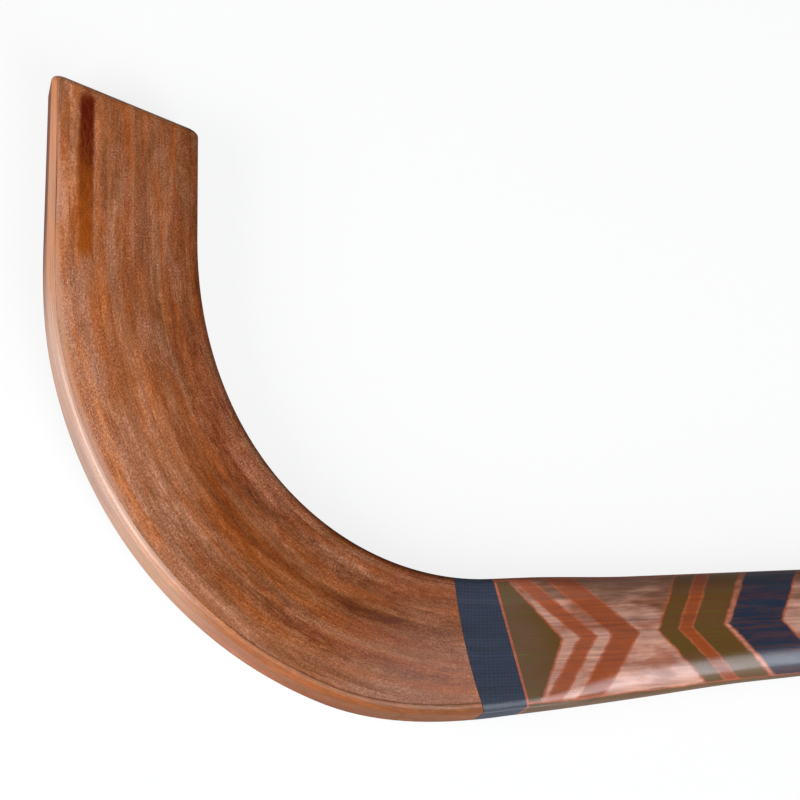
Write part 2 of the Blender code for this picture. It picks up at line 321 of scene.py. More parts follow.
def loft(rows, closed=False):
    """A closed skin through the rows, with its ends closed, or closed on itself."""
    bm = bmesh.new()
    rings = vertices(bm, rows)
    bridge(bm, rings + rings[:1] if closed else rings)
    if not closed:
        close_end(bm, rings[0])
        close_end(bm, rings[-1])
    return bm


# The wood

QUARTER = np.linspace(0.0, math.pi / 2.0, CORNER_STEPS + 1)


class WoodRow:
    """One row of the wood's section, between its ends at the inner and the outer edge.

    drawn is how far it is drawn in all round, tighter how much smaller its corners are, rebate how
    far its faces are sunk for the cloth, and cut how far its outer edge is drawn in at the tip.
    """

    def __init__(self, ends, drawn=0.0, tighter=0.0, rebate=0.0, cut=0.0):
        self.ends = ends
        self.drawn = drawn
        self.tighter = tighter
        self.rebate = rebate
        self.walls = [drawn, max(drawn, cut)]
        self.width = width(ends[1])
        self.radii = [corner(s) - tighter for s in ends]

    def outer_wall(self):
        return self.width - self.walls[1]

    def across(self):
        """Where the section's top is sampled: both corners in steps, and the flat between them."""
        rise = [wall + r * (1.0 - np.cos(QUARTER)) for wall, r in zip(self.walls, self.radii)]
        flat = [rise[0][-1] + HAIR, self.width - rise[1][-1] - HAIR]
        return np.concatenate([rise[0], flat, (self.width - rise[1])[::-1]])

    def top(self, u):
        """The height of the section's top at u."""
        height = np.full_like(u, HALF - self.drawn - self.rebate)
        for wall, radius in ((u - self.drawn, self.radii[0]), (self.outer_wall() - u, self.radii[1])):
            into = np.clip(radius - wall, 0.0, radius)
            arc = HALF - self.drawn - radius + np.sqrt(radius * radius - into * into)
            height = np.where(wall <= radius + HAIR / 2.0, arc, height)
        return height

    def ring(self, low, high):
        """The part of the section between two depths, as places."""
        u = np.clip(self.across(), max(low, self.drawn), min(high, self.outer_wall()))
        z = self.top(u)
        u = np.concatenate([u, u[::-1]])
        z = np.concatenate([z, -z[::-1]])
        s = self.ends[0] + (self.ends[1] - self.ends[0]) * u / self.width
        return s, u, z


def tip_rows():
    """The rounded tip, from its cut back to where the section is full."""
    rows = []
    for t in np.linspace(0.0, math.pi / 2.0, TIP_STEPS + 1):
        back = TIP_ROUND * (1.0 - math.cos(t))
        drawn = TIP_ROUND * (1.0 - math.sin(t))
        rows.append(WoodRow(tip_pair(back), drawn=drawn, cut=tip_corner(back)))
    return rows


def blade_rows():
    """The blade between the tip and the film, sunk on both faces for the cloth."""
    backs = TIP_ROUND + HAIR + CLOTH_RIM
    tip = [WoodRow(tip_pair(back), rebate=SUNK, cut=tip_corner(back)) for back in backs]
    return tip + [WoodRow(pair(s), rebate=SUNK) for s in spread(0.0, FILM_LINE - HAIR, ROW_STEP)]


def shaft_places(start):
    """Nominal places from start, late in the bend, to the end of the shaft."""
    rounded = ROUNDING_START + ROUNDING_LENGTH
    taper_end = BEND + TAPER_LENGTH
    taper = spread(rounded, taper_end, TAPER_STEP)[1:]
    straight = spread(taper_end, END, SHAFT_STEP)[1:]
    return spread(start, rounded, ROW_STEP) + taper + straight


def film_rows():
    """The wood under the film, drawn in all round."""
    return [WoodRow(pair(s), drawn=SUNK, tighter=SUNK) for s in shaft_places(FILM_LINE + HAIR)]


def last_row(near, far, low):
    """The row between two others where the outline has come in to the inner side of a ply."""
    share = (near.outer_wall() - low) / (near.outer_wall() - far.outer_wall())
    ends = [a + (b - a) * share for a, b in zip(near.ends, far.ends)]
    row = WoodRow(ends, near.drawn, near.tighter, near.rebate)
    row.walls[1] = row.width - low
    return row


def run_out(rows, low):
    """The rows that a ply reaches, closed where the outline comes in to its inner side."""
    reached = [k for k, row in enumerate(rows) if row.outer_wall() > low]
    first, last = reached[0], reached[-1]
    kept = rows[first:last + 1]
    if first > 0:
        kept.insert(0, last_row(rows[first], rows[first - 1], low))
    if last < len(rows) - 1:
        kept.append(last_row(rows[last], rows[last + 1], low))
    return kept


def ply(number, material):
    """One bent ply, between its two glue lines."""
    low = PLY * (number - 1) + GLUE / 2.0 if number > 1 else 0.0
    high = PLY * number - GLUE / 2.0 if number < PLY_COUNT else math.inf
    wood = run_out(tip_rows() + blade_rows() + film_rows(), low)
    rows = [row_of(*row.ring(low, high)) for row in wood]
    finished(loft(rows), f"ply_{number:02d}", f"lamination_{number:02d}", material)


# The skins

# How far inside the edges and the tip's cut a cloth ends, its bevel, and the rows near its border
CLOTH_BORDER = BLADE_CORNER + HAIR + SLIT
CLOTH_TIP = TIP_ROUND + HAIR + SLIT
CLOTH_BEVEL = 0.08
CLOTH_RIM = np.array((0.0, CLOTH_BEVEL, 0.35, 0.8, 1.6, 3.0))
CLOTH_COLUMNS = 18


def cloth_ends():
    """The rows of a cloth, each with its distance from the tip's border and the corner's cut."""
    rows = [(tip_pair(CLOTH_TIP + d), d, tip_corner(CLOTH_TIP + d)) for d in CLOTH_RIM]
    gone = rows[-1][0][0]
    return rows + [(pair(s), s - gone, 0.0) for s in spread(0.0, FILM_LINE - SLIT, ROW_STEP)]


def cloth(name, up, material, node):
    """Glass cloth in resin on one broad face, with its cut border a little rounded."""
    rows = []
    for ends, from_tip, cut in cloth_ends():
        full = width(ends[1])
        near = CLOTH_BORDER + CLOTH_RIM
        far = full - CLOTH_BORDER - cut - CLOTH_RIM[::-1]
        top = np.concatenate([near, np.linspace(near[-1], far[0], CLOTH_COLUMNS)[1:-1], far])
        edge = np.minimum(np.minimum(top - near[0], far[-1] - top), from_tip)
        height = HALF - CLOTH_BEVEL * np.clip(1.0 - edge / CLOTH_BEVEL, 0.0, 1.0)
        u = np.concatenate([top, top[::-1]])
        z = np.concatenate([height, np.full_like(top, HALF - SKIN)])
        s = ends[0] + (ends[1] - ends[0]) * u / full
        rows.append(row_of(s, u, up * z, 0.0, far[-1] - u))
    finished(loft(rows), name, node, material)


def section(ends, proud):
    """A closed section grown by proud, with how far round each point lies, and as a share."""
    full = width(ends[1])
    radii = [corner(s) + proud for s in ends]
    inwards = [radius * (1 - np.cos(QUARTER)) for radius in radii]
    down = [radius * (1 - np.sin(QUARTER)) for radius in radii]
    first = np.stack([-proud + inwards[0], HALF + proud - down[0]])
    last = np.stack([full + proud - inwards[1], HALF + proud - down[1]])
    flat = np.linspace(first[0][-1], last[0][-1], FLAT_STEPS + 2)[1:-1]
    middle = np.stack([flat, np.full_like(flat, HALF + proud)])
    top = np.concatenate([first, middle, last[:, ::-1]], axis=1)
    round_top = np.append(0.0, np.cumsum(np.hypot(*np.diff(top, axis=1))))
    wall = top[1][0]
    wrap = round_top - round_top[-1] / 2.0
    u = np.concatenate([top[0], top[0][::-1]])
    z = np.concatenate([top[1], -top[1][::-1]])
    s = ends[0] + (ends[1] - ends[0]) * np.clip(u, 0.0, full) / full
    shares = np.concatenate([round_top + wall, round_top + round_top[-1] + 3.0 * wall])
    return s, u, z, np.concatenate([wrap, wrap[::-1]]), shares / (2.0 * round_top[-1] + 4.0 * wall)


def print_film(material):
    """The film, a thin sleeve from its slanted line on the blade to the butt."""
    pairs = [pair(s) for s in shaft_places(FILM_LINE + HAIR + SLIT)]
    outside = [row_of(*section(ends, 0.0)[:4]) for ends in pairs]
    inside = [row_of(*section(ends, -SKIN)[:4]) for ends in reversed(pairs)]
    finished(loft(outside + inside, closed=True), "film", "print_film", material)


def sleeve(name, profile, node, material, closed=True):
    """A profile of (s, proud) pairs carried round the shaft."""
    rows = [row_of(*section((s, s), proud)[:4]) for s, proud in profile]
    finished(loft(rows, closed), name, node, material)


# The grip, the collar and the cap

# A lap of the grip: distances from its lip, and its share of the ridge's height there
LAP = ((0.0, 0.0), (0.15, 0.55), (0.35, 0.88), (0.7, 1.0), (1.6, 0.97), (4.0, 0.82), (7.0, 0.62),
       (10.0, 0.43), (13.0, 0.24), (16.0, 0.07), (17.6, 0.0))


def shaft_points(s, proud):
    """The section's points on the straight shaft, each with its own place along and height."""
    u, z, wrap = section((END, END), 0.0)[1:4]
    inner = np.clip(u, SHAFT_CORNER, width(END) - SHAFT_CORNER)
    core = np.clip(z, -(HALF - SHAFT_CORNER), HALF - SHAFT_CORNER)
    out = np.stack([u - inner, z - core])
    out = out / np.hypot(*out)
    return s, u + out[0] * proud, z + out[1] * proud, wrap


def wound_lines(start, end, low):
    """The lines of the laps, each once round the shaft and a pitch further on where it ends."""
    shares = section((start, start), 0.0)[4]
    turns = math.ceil((end - start) / GRIP_PITCH) + 1
    lines = []
    for turn in range(-1, turns + 1):
        for along, rise in LAP:
            s = start + GRIP_PITCH * (turn + shares) + along
            inside = (s > start) & (s < end)
            lines.append((np.clip(s, start, end), np.where(inside, low + GRIP_RIDGE * rise, low)))
    return lines


def grip(material):
    """Tape wound up the shaft, each turn lapping the one before with a rounded lip."""
    start = COLLAR_END + GAP
    end = END - CAP_DEPTH - END_GAP
    low = GAP + GRIP_THICKNESS
    lines = wound_lines(start, end, low)
    rows = [row_of(*shaft_points(s, proud)) for s, proud in lines]
    for s, proud in ((start, low), (GRIP_START, low), (GRIP_START, GAP), (end, GAP), (end, low)):
        rows.append(row_of(*section((s, s), proud)[:4]))
    bm = bmesh.new()
    rings = vertices(bm, rows)
    wound = rings[:len(lines)]
    for upper, lower in zip(wound, wound[1:]):
        for k in range(len(upper) - 1):
            bm.faces.new((upper[k], upper[k + 1], lower[k + 1], lower[k]))
    step = len(LAP)
    for q in range(len(wound) - step - 1):
        bm.faces.new((wound[q][-1], wound[q + step][0], wound[q + step + 1][0], wound[q + 1][-1]))
    bridge(bm, rings[len(lines):])
    bmesh.ops.remove_doubles(bm, verts=bm.verts, dist=MERGE * MM)
    bmesh.ops.delete(bm, geom=[v for v in bm.verts if not v.link_faces], context="VERTS")
    # One triangle is left open where the first lap starts
    bmesh.ops.holes_fill(bm, edges=bm.edges, sides=3)
    finished(bm, "grip", "grip_tape", material)


# The collar's climb onto the grip, its bevel, its second lap, and the first lap's share of both
COLLAR_CLIMB = 2.5
COLLAR_BEVEL = 0.12
SECOND_LAP = COLLAR_START + 12.5
FIRST_LAP_SHARE = 0.62


def collar(material):
    """Finishing tape over the foot of the grip, wound on with a second lap."""
    on_film = GAP
    on_grip = GAP + GRIP_THICKNESS + GAP
    climb_end = GRIP_START - END_GAP
    climb_start = climb_end - COLLAR_CLIMB
    first_lap = COLLAR_THICKNESS * FIRST_LAP_SHARE
    top = on_grip + COLLAR_THICKNESS
    profile = [
        (COLLAR_START, on_film),
        (climb_start, on_film),
        (climb_end, on_grip),
        (COLLAR_END, on_grip),
        (COLLAR_END, top - COLLAR_BEVEL),
        (COLLAR_END - COLLAR_BEVEL, top),
        (SECOND_LAP + COLLAR_BEVEL, top),
        (SECOND_LAP, top - COLLAR_BEVEL),
        (SECOND_LAP, on_grip + first_lap),
        (climb_end, on_grip + first_lap),
        (climb_start, on_film + first_lap),
        (COLLAR_START + COLLAR_BEVEL, on_film + first_lap),
        (COLLAR_START, on_film + first_lap - COLLAR_BEVEL),
    ]
    sleeve("collar", profile, "grip_collar", material)


# The cap's bevelled mouth, its rounded end, and the grooves' profile, along and inwards
CAP_BEVEL = 0.5
CAP_ROUND = 1.4
GROOVE_COUNT = 3
GROOVE_START = 3.2
GROOVE_PITCH = 3.0
GROOVE = ((0.0, 0.0), (0.3, 0.35), (0.8, 0.35), (1.1, 0.0))


def cap(material):
    """The rubber cap, with shallow grooves round it and a rounded end."""
    outer = GAP + CAP_WALL
    mouth = END - CAP_DEPTH
    inside_end = END + END_GAP
    end = inside_end + CAP_END
    profile = [(inside_end, GAP), (mouth, GAP)]
    profile += [(mouth, outer - CAP_BEVEL), (mouth + CAP_BEVEL, outer)]
    for k in range(GROOVE_COUNT):
        groove = mouth + GROOVE_START + GROOVE_PITCH * k
        profile += [(groove + along, outer - inwards) for along, inwards in GROOVE]
    for t in QUARTER:
        along = end - CAP_ROUND * (1.0 - math.sin(t))
        profile.append((along, outer - CAP_ROUND * (1.0 - math.cos(t))))
    sleeve("cap", profile, "end_cap", material, closed=False)


# Materials

class Nodes:
    """Adds nodes to a tree. What goes in is a number, a tuple or another node's output."""

    def __init__(self, tree):
        self.tree = tree

    def add(self, kind, inputs, **settings):
        node = self.tree.nodes.new("ShaderNode" + kind)
        for key, value in settings.items():
            setattr(node, key, value)
        for key, value in inputs.items():
            if isinstance(value, bpy.types.NodeSocket):
                self.tree.links.new(value, node.inputs[key])
            else:
                node.inputs[key].default_value = value
        return node

    def math(self, operation, *values):
        return self.add("Math", dict(enumerate(values)), operation=operation).outputs[0]

    def times(self, first, second):
        return self.math("MULTIPLY", first, second)

    def plus(self, value, factor, other):
        """value * factor + other"""
        return self.math("MULTIPLY_ADD", value, factor, other)

    def noise(self, place, stretch, detail, roughness=0.5):
        """Noise about 0, drawn out by the stretch, in millimetres along s, u and z."""
        at = self.add("VectorMath", {0: place, 1: stretch}, operation="DIVIDE").outputs[0]
        inputs = {"Vector": at, "Scale": 1.0, "Detail": detail, "Roughness": roughness}
        return self.math("SUBTRACT", self.add("TexNoise", inputs).outputs[0], 0.5)

    def ramp(self, value, low, high, to_low=0.0, to_high=1.0):
        """A smooth step from one value at low to another at high."""
        limits = {"Value": value, "From Min": low, "From Max": high, "To Min": to_low, "To Max": to_high}
        return self.add("MapRange", limits, interpolation_type="SMOOTHSTEP").outputs[0]

    def band(self, value, start, end, soft):
        """1 between start and end, with soft sides."""
        rise = self.ramp(value, start - soft, start + soft)
        return self.times(rise, self.ramp(value, end + soft, end - soft))

    def mix(self, factor, first, second, blend="MIX"):
        inputs = {0: factor, 6: first, 7: second}
        return self.add("Mix", inputs, data_type="RGBA", blend_type=blend).outputs[2]

    def paint(self, colour, share, ink, blend="MIX"):
        """A colour under so much of one plain ink."""
        return self.mix(share, colour, (*ink, 1.0), blend)

    def shade(self, colour, factor):
        """A colour times one factor."""
        return self.mix(1.0, colour, factor, "MULTIPLY")

    def colours(self, value, stops):
        """The colour at a value between stops of a position and a colour."""
        node = self.add("ValToRGB", {0: value})
        ramp = node.color_ramp
        while len(ramp.elements) < len(stops):
            ramp.elements.new(1.0)
        for element, (position, colour) in zip(ramp.elements, stops):
            element.position = position
            element.color = (*colour, 1.0)
        return node.outputs[0]

    def attribute(self, name):
        """A value that the mesh carries."""
        return self.add("Attribute", {}, attribute_name=name).outputs["Fac"]

    def place(self):
        """The place that a point of the surface has, whole and as s, u and z."""
        whole = self.add("Attribute", {}, attribute_name="place").outputs["Vector"]
        return whole, *self.add("SeparateXYZ", {0: whole}).outputs


# How strongly a surface mirrors, where nothing else is stated
SHEEN = 0.5


def new_material(name, sheen=SHEEN):
    """A material, the maker of its nodes, and its shader."""
    material = bpy.data.materials.new(name)
    material.use_nodes = True
    shader = material.node_tree.nodes["Principled BSDF"]
    shader.inputs["Specular IOR Level"].default_value = sheen
    return material, Nodes(material.node_tree), shader


def lead(nodes, shader, colour, roughness, height, strength, depth):
    """Leads a colour, a roughness and a height of so many millimetres to the shader."""
    nodes.tree.links.new(colour, shader.inputs["Base Color"])
    nodes.tree.links.new(roughness, shader.inputs["Roughness"])
    bump = nodes.add("Bump", {"Strength": strength, "Distance": depth * MM, "Height": height})
    nodes.tree.links.new(bump.outputs[0], shader.inputs["Normal"])


# Wood from its darkest tone to its palest, and the tints between which its hue wanders
WOOD_TONES = (
    (0.00, (0.100, 0.019, 0.002)),
    (0.20, (0.162, 0.036, 0.005)),
    (0.50, (0.240, 0.065, 0.013)),
    (0.75, (0.360, 0.110, 0.032)),
    (1.00, (0.610, 0.238, 0.104)),
)
REDDER = (1.07, 0.89, 0.54)
PALER = (0.95, 1.08, 1.44)

# Its noises
BROAD_GRAIN = ((20.0, 3.0, 7.0), 2.0)
FINE_GRAIN = ((3.2, 0.8, 1.2), 2.0)
FLECKS = ((0.80, 0.56, 0.6), 2.0)
MOTTLE = ((3.6, 2.0, 3.0), 3.0, 0.6)
PORES = ((2.4, 0.22, 0.3), 1.0)
HUES = ((30.0, 4.0, 8.0), 2.0)
PORE_RAMP = (0.10, 0.26)
HUE_RAMP = (-0.14, 0.14)

# The waves in which the grain wanders across, each a noise and how far, and the plies' own shift
LONG_WAVES = (((70.0, 20.0, 30.0), 1.0), 5.0)
SHORT_WAVES = (((11.0, 4.0, 6.0), 2.0), 1.6)
PLY_SHIFT = 40.0

# The middle tone, and how much each part changes it, the mottle by u
MIDDLE_TONE = 0.40
BROAD_CHANGE = 0.85
FINE_CHANGE = 0.40
FLECK_CHANGE = 0.50
PORE_CHANGE = -0.06
PLY_CHANGE = 0.05
MOTTLE_CHANGE = (4.0, 18.0, 0.60, 0.35)

# The tone also rises by so much a millimetre outwards, less so near the shaft
OUTWARD_START = -0.05
OUTWARD_RISE = 0.0105
OUTWARD_ALONG = (130.0, 55.0, 0.45, 1.0)

# Streaks and the dark band are on the front alone, by z, and pores lie below the grain
FRONT = (0.0, 4.0)
PORE_HEIGHT = -0.6

# Streaks: s, u, half length, half width, change of tone
STREAKS = (
    (42.0, 9.0, 34.0, 2.6, -0.08),
    (84.0, 9.5, 38.0, 3.0, -0.13),
    (25.0, 13.3, 17.0, 0.9, -0.20),
    (74.0, 18.3, 27.0, 2.2, -0.20),
    (114.0, 17.3, 20.0, 2.0, -0.13),
    (92.0, 31.0, 26.0, 3.0, -0.15),
    (90.0, 25.0, 26.0, 2.6, -0.16),
    (128.0, 18.5, 20.0, 5.0, -0.14),
    (78.0, 35.5, 22.0, 2.4, -0.10),
    (118.0, 40.0, 26.0, 2.6, -0.14),
    (120.0, 10.0, 20.0, 4.0, -0.08),
    (56.0, 31.0, 20.0, 2.6, 0.05),
    (108.0, 40.5, 26.0, 2.6, 0.12),
    (118.0, 14.5, 18.0, 2.6, 0.08),
    (24.0, 30.0, 18.0, 2.8, 0.14),
    (119.0, 30.3, 26.0, 2.3, -0.22),
    (22.0, 31.3, 24.0, 0.6, -0.12),
    # This streak along the outer edge is partly paler wood and partly a painted highlight on the
    # rounding
    (0.0, 44.5, 66.0, 3.4, 0.34),
    (48.0, 24.0, 34.0, 5.0, 0.07),
    (92.0, 37.0, 36.0, 3.0, 0.05),
    (-12.0, 10.8, 34.0, 3.4, 0.08),
)
STREAK_RAGGED = 2.2
STREAK_FADE = (1.5, 0.0)

# The dark band near the tip: its bands of u and s, how ragged it is, and how it pales along s, in
# one step and evenly
DARK_SIDES = (31.1, 35.6, 0.8)
DARK_ENDS = (-42.6, 6.5, 2.2)
DARK_RAGGED = 4.0
DARK_STEP = (-24.0, -18.0, 0.0, 0.22)
DARK_PALING = (-42.6, 12.5, 0.0, 0.78)
DEEP_BROWN = (0.095, 0.007, 0.0004)
GOLD_BROWN = (0.310, 0.068, 0.0035)


def streaks(nodes, s, u, fine):
    """The summed change of tone of the streaks."""
    total = 0.0
    for at_s, at_u, long, wide, change in STREAKS:
        along = nodes.plus(s, 1.0 / long, -at_s / long)
        across = nodes.plus(u, 1.0 / wide, -at_u / wide)
        far = nodes.plus(along, along, nodes.times(across, across))
        mask = nodes.ramp(nodes.plus(fine, STREAK_RAGGED, far), *STREAK_FADE)
        total = nodes.plus(mask, change, total)
    return total


def dark_band(nodes, s, u, fine):
    """How much of the dark band shows at a point, and its colour there."""
    ragged = nodes.plus(fine, DARK_RAGGED, s)
    share = nodes.times(nodes.band(u, *DARK_SIDES), nodes.band(ragged, *DARK_ENDS))
    paling = nodes.math("ADD", nodes.ramp(ragged, *DARK_STEP), nodes.ramp(s, *DARK_PALING))
    colour = nodes.mix(nodes.math("ADD", fine, paling), (*DEEP_BROWN, 1.0), (*GOLD_BROWN, 1.0))
    return share, colour


def bent_wood():
    """Bent wood as a node group, from a place to its colour and the height of its grain."""
    group = bpy.data.node_groups.new("bent_wood", "ShaderNodeTree")
    group.interface.new_socket("Place", in_out="INPUT", socket_type="NodeSocketVector")
    for name, kind in (("Colour", "Color"), ("Height", "Float")):
        group.interface.new_socket(name, in_out="OUTPUT", socket_type="NodeSocket" + kind)
    nodes = Nodes(group)
    given = group.nodes.new("NodeGroupInput").outputs[0]
    s, u, z = nodes.add("SeparateXYZ", {0: given}).outputs
    ply_number = nodes.math("FLOOR", nodes.math("DIVIDE", u, PLY))
    lot = nodes.add("TexWhiteNoise", {"W": ply_number}, noise_dimensions="1D").outputs[0]
    drift = u
    for waves, wander in (LONG_WAVES, SHORT_WAVES):
        drift = nodes.plus(nodes.noise(given, *waves), wander, drift)
    place = nodes.add("CombineXYZ", {0: s, 1: drift, 2: nodes.plus(lot, PLY_SHIFT, z)}).outputs[0]
    fine = nodes.noise(place, *FINE_GRAIN)
    pores = nodes.ramp(nodes.noise(place, *PORES), *PORE_RAMP)
    outwards = nodes.plus(u, OUTWARD_RISE, OUTWARD_START)
    tone = nodes.math("ADD", nodes.times(nodes.ramp(s, *OUTWARD_ALONG), outwards), MIDDLE_TONE)
    front = nodes.ramp(z, *FRONT)
    changes = (
        (nodes.math("SUBTRACT", lot, 0.5), PLY_CHANGE),
        (nodes.noise(place, *BROAD_GRAIN), BROAD_CHANGE),
        (fine, FINE_CHANGE),
        (nodes.noise(place, *FLECKS), FLECK_CHANGE),
        (pores, PORE_CHANGE),
        (nodes.noise(place, *MOTTLE), nodes.ramp(u, *MOTTLE_CHANGE)),
        (streaks(nodes, s, u, fine), front),
    )
    for part, change in changes:
        tone = nodes.plus(part, change, tone)
    hue = nodes.ramp(nodes.noise(place, *HUES), *HUE_RAMP)
    tint = nodes.mix(hue, (*REDDER, 1.0), (*PALER, 1.0))
    colour = nodes.mix(1.0, nodes.colours(tone, WOOD_TONES), tint, "MULTIPLY")
    share, dark = dark_band(nodes, s, u, fine)
    colour = nodes.mix(nodes.times(share, front), colour, dark)
    leave = group.nodes.new("NodeGroupOutput")
    group.links.new(colour, leave.inputs["Colour"])
    group.links.new(nodes.plus(pores, PORE_HEIGHT, fine), leave.inputs["Height"])
    return group


def use_wood(nodes, group, place):
    """The wood's colour and the height of its grain at a place."""
    made = nodes.add("Group", {}, node_tree=group)
    nodes.tree.links.new(place, made.inputs["Place"])
    return made.outputs["Colour"], made.outputs["Height"]


def side_wall(nodes, z, inside, outside):
    """1 on the section's upright sides, falling to 0 between two heights."""
    return nodes.ramp(nodes.math("ABSOLUTE", z), outside, inside)


# The glass's haze: patches where the resin over it is thin, and single specks; its colour also paints
# the sheen at the outer edge and on the cloth's rim
HAZE_AND_SHEEN = (0.56, 0.32, 0.23)
PATCHES = ((16.0, 6.0, 6.0), 3.0, 0.6)
PATCH_RAMP = (-0.10, 0.16)
SPECKS = ((0.50, 0.42, 1.0), 2.0, 0.6)
SPECK_RAMP = (-0.06, 0.16)

# How much of it there is everywhere, and how much more or less in a patch, at the outer edge, where
# the extra haze is a painted sheen, in the bend's hollow, in the golden middle and beside the dark band,
# by u and s
HAZE_EVERYWHERE = 0.12
HAZE_IN_PATCH = 0.26
SHEEN_AT_EDGE = ((28.0, 42.0, 0.0, 0.26), (-2.0, 60.0, 14.0))
HAZE_IN_HOLLOW = ((13.0, 4.0, 0.0, 0.16), (34.0, 90.0, 16.0))
GOLDEN = ((13.0, 26.0, 5.0), (54.0, 128.0, 14.0), -0.75)
CLEAR = ((31.1, 38.0, 1.0), (-42.6, 6.5, 3.0), -0.85)

# How much of that shows between specks, in a speck, in a gap of the weave, and by the wood's tone
HAZE_BETWEEN = 0.20
HAZE_IN_SPECK = 0.62
HAZE_IN_GAP = 0.12
HAZE_BY_TONE = (0.03, 0.14, 0.25, 1.15)

# A cooler haze near the film, partly pale resin and partly a painted highlight, by s and u, and how
# strongly specks glint as painted highlights, by s
COOL_HAZE_AND_SHEEN = (0.52, 0.34, 0.31)
COOL_ALONG = (108.0, 138.0)
COOL_ACROSS = (12.0, 30.0, 0.04, 0.18)
GLINT = (100.0, 135.0, 1.25, 0.80)


def glazed(nodes, place, s, u, wood, gaps):
    """Wood under resin, with pale specks where the glass shows, more of them at the outer edge and near
    the film as painted sheen, and the specks themselves.
    """
    patch = nodes.ramp(nodes.noise(place, *PATCHES), *PATCH_RAMP)
    specks = nodes.noise(place, *SPECKS)
    speck = nodes.ramp(specks, *SPECK_RAMP)
    amount = nodes.plus(patch, HAZE_IN_PATCH, HAZE_EVERYWHERE)
    # At the outer edge in the bend the haze is raised as a painted sheen of the left lamp
    for across, along in (SHEEN_AT_EDGE, HAZE_IN_HOLLOW):
        amount = nodes.math("ADD", amount, nodes.times(nodes.ramp(u, *across), nodes.band(s, *along)))
    for across, along, change in (GOLDEN, CLEAR):
        part = nodes.times(nodes.band(u, *across), nodes.band(s, *along))
        amount = nodes.times(amount, nodes.plus(part, change, 1.0))
    between = nodes.plus(gaps, HAZE_IN_GAP, HAZE_BETWEEN)
    haze_and_sheen = nodes.times(amount, nodes.plus(speck, HAZE_IN_SPECK, between))
    lightness = nodes.add("RGBToBW", {0: wood}).outputs[0]
    haze_and_sheen = nodes.times(haze_and_sheen, nodes.ramp(lightness, *HAZE_BY_TONE))
    colour = nodes.paint(wood, haze_and_sheen, HAZE_AND_SHEEN)
    # Near the film the resin is paler and cooler, partly a painted highlight
    film_haze_and_sheen = nodes.times(nodes.ramp(s, *COOL_ALONG), nodes.ramp(u, *COOL_ACROSS))
    colour = nodes.paint(colour, film_haze_and_sheen, COOL_HAZE_AND_SHEEN)
    return nodes.shade(colour, nodes.plus(specks, nodes.ramp(s, *GLINT), 1.0)), speck


# The plies' own colours, and how much of them shows in the wood
PLY_COLOURS = {
    "pale_ply": (0.60, 0.34, 0.20),
    "warm_ply": (0.50, 0.25, 0.12),
    "dark_ply": (0.27, 0.09, 0.04),
}
PLY_SHARE = 0.15

# The inner edge is duller than the rest, since the cloth's resin is drawn round it
INNER_SHEEN = 0.12
INNER_EDGE = (3.4, 2.8)
INNER_ROUGH = 0.8
INNER_GAPS = 0.5

# The outer edge by u, and its bands of s: a painted pale sheen in the bend, and then as warm as fresh
# wood
OUTER_EDGE = (30.0, 40.0)
EDGE_SHEEN_ALONG = (14.0, 84.0, 14.0)
EDGE_SHEEN_SHARE = 0.50
EDGE_SHEEN_STRAW = (0.66, 0.49, 0.41)
WARM = (72.0, 106.0, 12.0)
WARM_WALL = (8.6, 9.8)
AMBER = (1.18, 1.02, 0.78)

# Fibres along the edges, and how much they change the tone, by the height
FIBRES = ((24.0, 0.55, 0.32), 2.0, 0.6)
FIBRE_CHANGE = (9.5, 7.5, 0.9, 1.1)

# Glue lines, and the end grain at the tip's cut, by the distance from each
GLUE_LINE = (0.16, 0.04, 0.0, 0.35)
GLUE_BROWN = (0.16, 0.05, 0.02)
END_GRAIN = (1.3, 0.1, 0.0, 0.5)
END_BROWN = (0.17, 0.06, 0.025)

# The lacquer's roughness by wear, and by z what the band of painted sheen adds to it
WEAR = ((6.0, 3.0, 3.0), 3.0)
WORN = (-0.2, 0.25, 0.34, 0.46)
POLISH = (6.6, 8.6, 0.22, -0.12)

# Where the lacquer on the edges is rubbed matt and the walls carry painted shade: a ramp of s, the
# wall's heights, the shade's tint
TIP_MATT_AND_SHADE = ((26.0, -6.0), (7.4, 9.0), (0.34, 0.22, 0.12))
HEEL_MATT_AND_SHADE = ((80.0, 122.0), (9.5, 10.0), (0.76, 0.60, 0.29))
RUBBED_ROUGH = 0.45
WOOD_BUMP = (0.25, 0.08)


